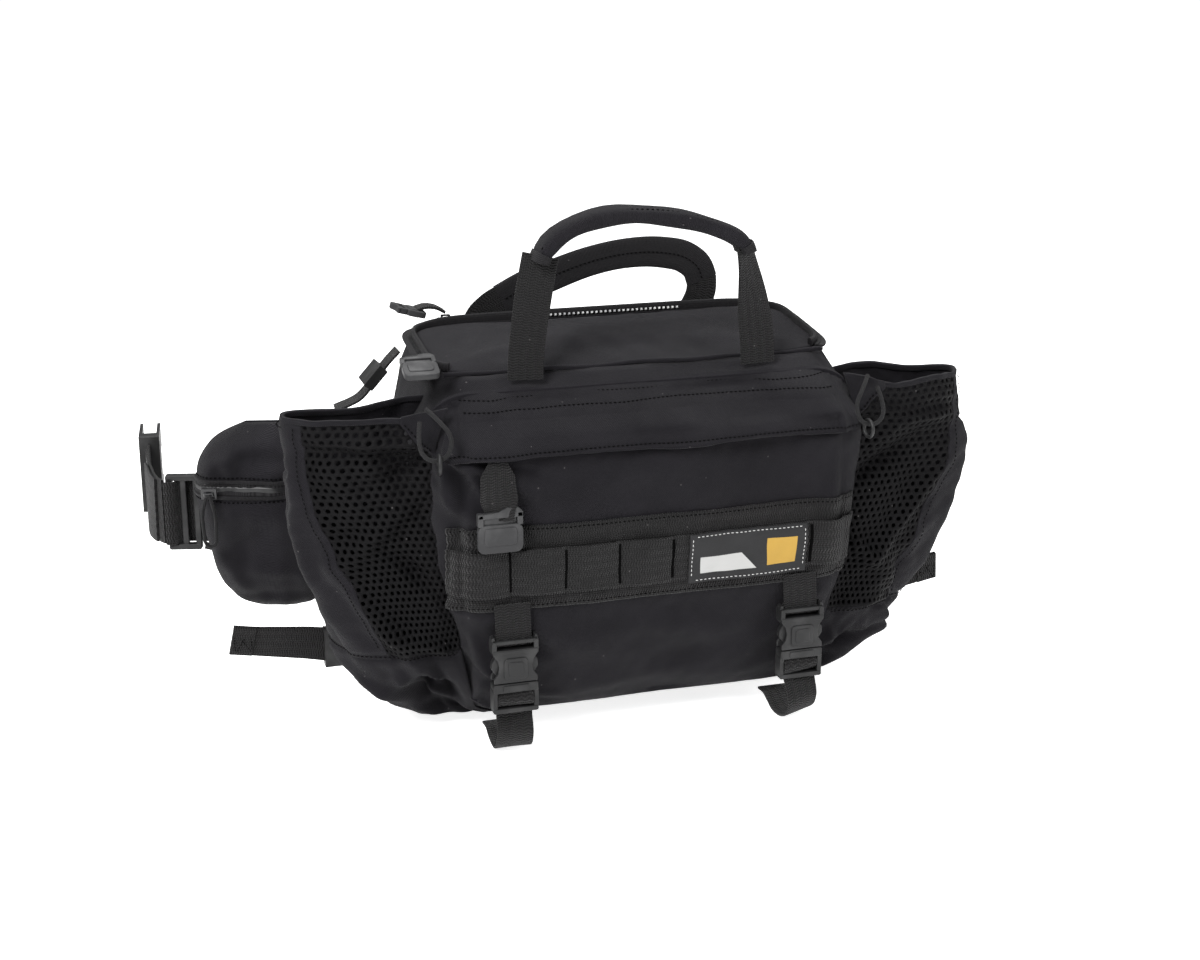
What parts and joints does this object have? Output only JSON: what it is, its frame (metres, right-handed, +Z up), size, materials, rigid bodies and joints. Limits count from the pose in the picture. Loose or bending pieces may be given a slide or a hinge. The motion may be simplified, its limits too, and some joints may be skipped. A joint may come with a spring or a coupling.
{
  "type": "waist pack",
  "caption": "Lumbar pack with a lidded main compartment, zipped front pocket, mesh bottle pockets, carrying handles, lash straps and a padded waist belt with hip pockets.",
  "frame": {"origin": "middle of the back pad's flat rear face, which rests on the wearer", "axes": "+Y out of the pad towards the wearer, +X along the pack's width to the right as seen from ahead of its front, which is the wearer's right, +Z up"},
  "size_m": [0.653, 0.3666, 0.3729],
  "materials": {
    "pack_cloth": "charcoal coated nylon with a fine cross rib, soft sheen",
    "lining_cloth": "thin dark grey lining cloth",
    "air_mesh": "black knitted mesh with oval holes",
    "pad_foam": "cloth covered foam with a spacer mesh face",
    "zip_tape": "black woven zip tape",
    "stiff_sheet": "dark polyethylene sheet",
    "webbing": "black polypropylene webbing, coarse weave",
    "patch": "woven patch, pale and ochre shapes on a dark field",
    "slider_metal": "black enamelled zinc",
    "pull_rubber": "moulded grey rubber, dull",
    "buckle_plastic": "moulded dark grey acetal, fine satin",
    "shock_cord": "black braided cord"
  },
  "bodies": {
    "root": {"main_shell": "pack_cloth", "storm_flap": "pack_cloth", "front_pocket_shell": "pack_cloth", "divider_panel": "lining_cloth", "frame_sheet": "stiff_sheet", "rim_zip_tape": "zip_tape", "front_zip_tape": "zip_tape", "daisy_band": "webbing", "daisy_loops": "webbing", "label_patch": "patch", "side_pocket_mesh_left": "air_mesh", "side_pocket_mesh_right": "air_mesh", "side_pocket_cup_left": "pack_cloth", "side_pocket_cup_right": "pack_cloth", "pocket_cord_left": "shock_cord", "pocket_cord_right": "shock_cord", "cord_rings": "buckle_plastic", "lash_webs": "webbing", "lash_females": "buckle_plastic", "back_pad": "pad_foam", "stabiliser_webs": "webbing", "stabiliser_locks": "buckle_plastic"},
    "lid": {"lid_panel": "pack_cloth"},
    "front_handle": {"handle_front_web": "webbing", "handle_front_grip": "pack_cloth"},
    "rear_handle": {"handle_rear_web": "webbing", "handle_rear_grip": "pack_cloth"},
    "main_slider_a": {"main_zip_slider_a": "slider_metal"},
    "main_pull_a": {"main_pull_a_tab": "webbing", "main_pull_a_end": "pull_rubber"},
    "main_slider_b": {"main_zip_slider_b": "slider_metal"},
    "main_pull_b": {"main_pull_b_tab": "webbing", "main_pull_b_end": "pull_rubber"},
    "front_slider": {"front_zip_slider": "slider_metal"},
    "front_pull": {"front_pull_tab": "webbing", "front_pull_end": "pull_rubber"},
    "lash_left": {"lash_male_left": "buckle_plastic", "lash_loop_left": "webbing"},
    "lash_outer_arm_left": {"lash_arm_outer_left": "buckle_plastic"},
    "lash_inner_arm_left": {"lash_arm_inner_left": "buckle_plastic"},
    "wing_left": {"wing_left": "pad_foam", "hip_pocket_left": "pack_cloth", "belt_lock_left": "buckle_plastic"},
    "hip_slider_left": {"hip_zip_slider_left": "slider_metal", "hip_pull_cord_left": "shock_cord"},
    "lash_right": {"lash_male_right": "buckle_plastic", "lash_loop_right": "webbing"},
    "lash_outer_arm_right": {"lash_arm_outer_right": "buckle_plastic"},
    "lash_inner_arm_right": {"lash_arm_inner_right": "buckle_plastic"},
    "wing_right": {"wing_right": "pad_foam", "hip_pocket_right": "pack_cloth", "belt_lock_right": "buckle_plastic"},
    "hip_slider_right": {"hip_zip_slider_right": "slider_metal", "hip_pull_cord_right": "shock_cord"},
    "belt_left": {"belt_web_left": "webbing", "belt_female": "buckle_plastic"},
    "belt_right": {"belt_web_right": "webbing", "belt_male": "buckle_plastic"},
    "belt_upper_arm": {"belt_arm_upper": "buckle_plastic"},
    "belt_lower_arm": {"belt_arm_lower": "buckle_plastic"}
  },
  "joints": [
    {"name": "lid_hinge", "type": "hinge", "parent": "root", "child": "lid", "pos_m": [0, -0.1226, 0.117], "axis": [1, 0, 0], "range_deg": [0, 65]},
    {"name": "front_handle_fold", "type": "hinge", "parent": "root", "child": "front_handle", "pos_m": [0, -0.1336, 0.117], "axis": [1, 0, 0], "range_deg": [0, 110]},
    {"name": "rear_handle_fold", "type": "hinge", "parent": "root", "child": "rear_handle", "pos_m": [0, 0.0038, 0.123], "axis": [-1, 0, 0], "range_deg": [0, 80]},
    {"name": "main_slider_a_slide", "type": "slide", "parent": "root", "child": "main_slider_a", "axis": [0, 1, 0], "range_m": [0, 0.058]},
    {"name": "main_pull_a_swing", "type": "hinge", "parent": "main_slider_a", "child": "main_pull_a", "pos_m": [-0.1482, -0.1046, 0.1266], "axis": [-1, 0, 0], "range_deg": [0, 110]},
    {"name": "main_slider_b_slide", "type": "slide", "parent": "root", "child": "main_slider_b", "axis": [1, 0, 0], "range_m": [0, 0.215]},
    {"name": "main_pull_b_swing", "type": "hinge", "parent": "main_slider_b", "child": "main_pull_b", "pos_m": [-0.112, -0.0136, 0.137], "axis": [0, 1, 0], "range_deg": [0, 95]},
    {"name": "front_slider_slide", "type": "slide", "parent": "root", "child": "front_slider", "axis": [1, 0, 0], "range_m": [0, 0.228]},
    {"name": "front_pull_swing", "type": "hinge", "parent": "front_slider", "child": "front_pull", "pos_m": [-0.114, -0.1734, 0.0686], "axis": [-1, 0, 0], "range_deg": [0, 90]},
    {"name": "lash_release_left", "type": "slide", "parent": "root", "child": "lash_left", "axis": [0, 0, -1], "range_m": [0, 0.028]},
    {"name": "lash_outer_button_left", "type": "hinge", "parent": "lash_left", "child": "lash_outer_arm_left", "pos_m": [-0.114, -0.1746, -0.088], "axis": [0, 1, 0], "range_deg": [0, 7], "stiffness_Nm_per_rad": 0.15},
    {"name": "lash_inner_button_left", "type": "hinge", "parent": "lash_left", "child": "lash_inner_arm_left", "pos_m": [-0.096, -0.1746, -0.088], "axis": [0, -1, 0], "range_deg": [0, 7], "stiffness_Nm_per_rad": 0.15},
    {"name": "lash_release_right", "type": "slide", "parent": "root", "child": "lash_right", "axis": [0, 0, -1], "range_m": [0, 0.028]},
    {"name": "lash_outer_button_right", "type": "hinge", "parent": "lash_right", "child": "lash_outer_arm_right", "pos_m": [0.114, -0.1746, -0.088], "axis": [0, -1, 0], "range_deg": [0, 7], "stiffness_Nm_per_rad": 0.15},
    {"name": "lash_inner_button_right", "type": "hinge", "parent": "lash_right", "child": "lash_inner_arm_right", "pos_m": [0.096, -0.1746, -0.088], "axis": [0, 1, 0], "range_deg": [0, 7], "stiffness_Nm_per_rad": 0.15},
    {"name": "wing_swing_left", "type": "hinge", "parent": "root", "child": "wing_left", "pos_m": [-0.141, -0.0066, -0.013], "axis": [0, 0, -1], "range_deg": [0, 25]},
    {"name": "hip_zip_left", "type": "slide", "parent": "wing_left", "child": "hip_slider_left", "axis": [0.9703, -0.2419, 0], "range_m": [0, 0.07]},
    {"name": "belt_swing_left", "type": "hinge", "parent": "wing_left", "child": "belt_left", "pos_m": [-0.3162, 0.0366, -0.011], "axis": [0, 0, -1], "range_deg": [0, 20]},
    {"name": "wing_swing_right", "type": "hinge", "parent": "root", "child": "wing_right", "pos_m": [0.141, -0.0066, -0.013], "axis": [0, 0, 1], "range_deg": [0, 25]},
    {"name": "hip_zip_right", "type": "slide", "parent": "wing_right", "child": "hip_slider_right", "axis": [-0.9703, -0.2419, 0], "range_m": [0, 0.07]},
    {"name": "belt_swing_right", "type": "hinge", "parent": "wing_right", "child": "belt_right", "pos_m": [0.3162, 0.0366, -0.011], "axis": [0, 0, 1], "range_deg": [0, 20]},
    {"name": "belt_upper_button", "type": "hinge", "parent": "belt_right", "child": "belt_upper_arm", "pos_m": [0.317, 0.1584, 0.009], "axis": [-0.9945, -0.1045, 0], "range_deg": [0, 7], "stiffness_Nm_per_rad": 0.3},
    {"name": "belt_lower_button", "type": "hinge", "parent": "belt_right", "child": "belt_lower_arm", "pos_m": [0.317, 0.1584, -0.031], "axis": [0.9945, 0.1045, 0], "range_deg": [0, 7], "stiffness_Nm_per_rad": 0.3}
  ]
}
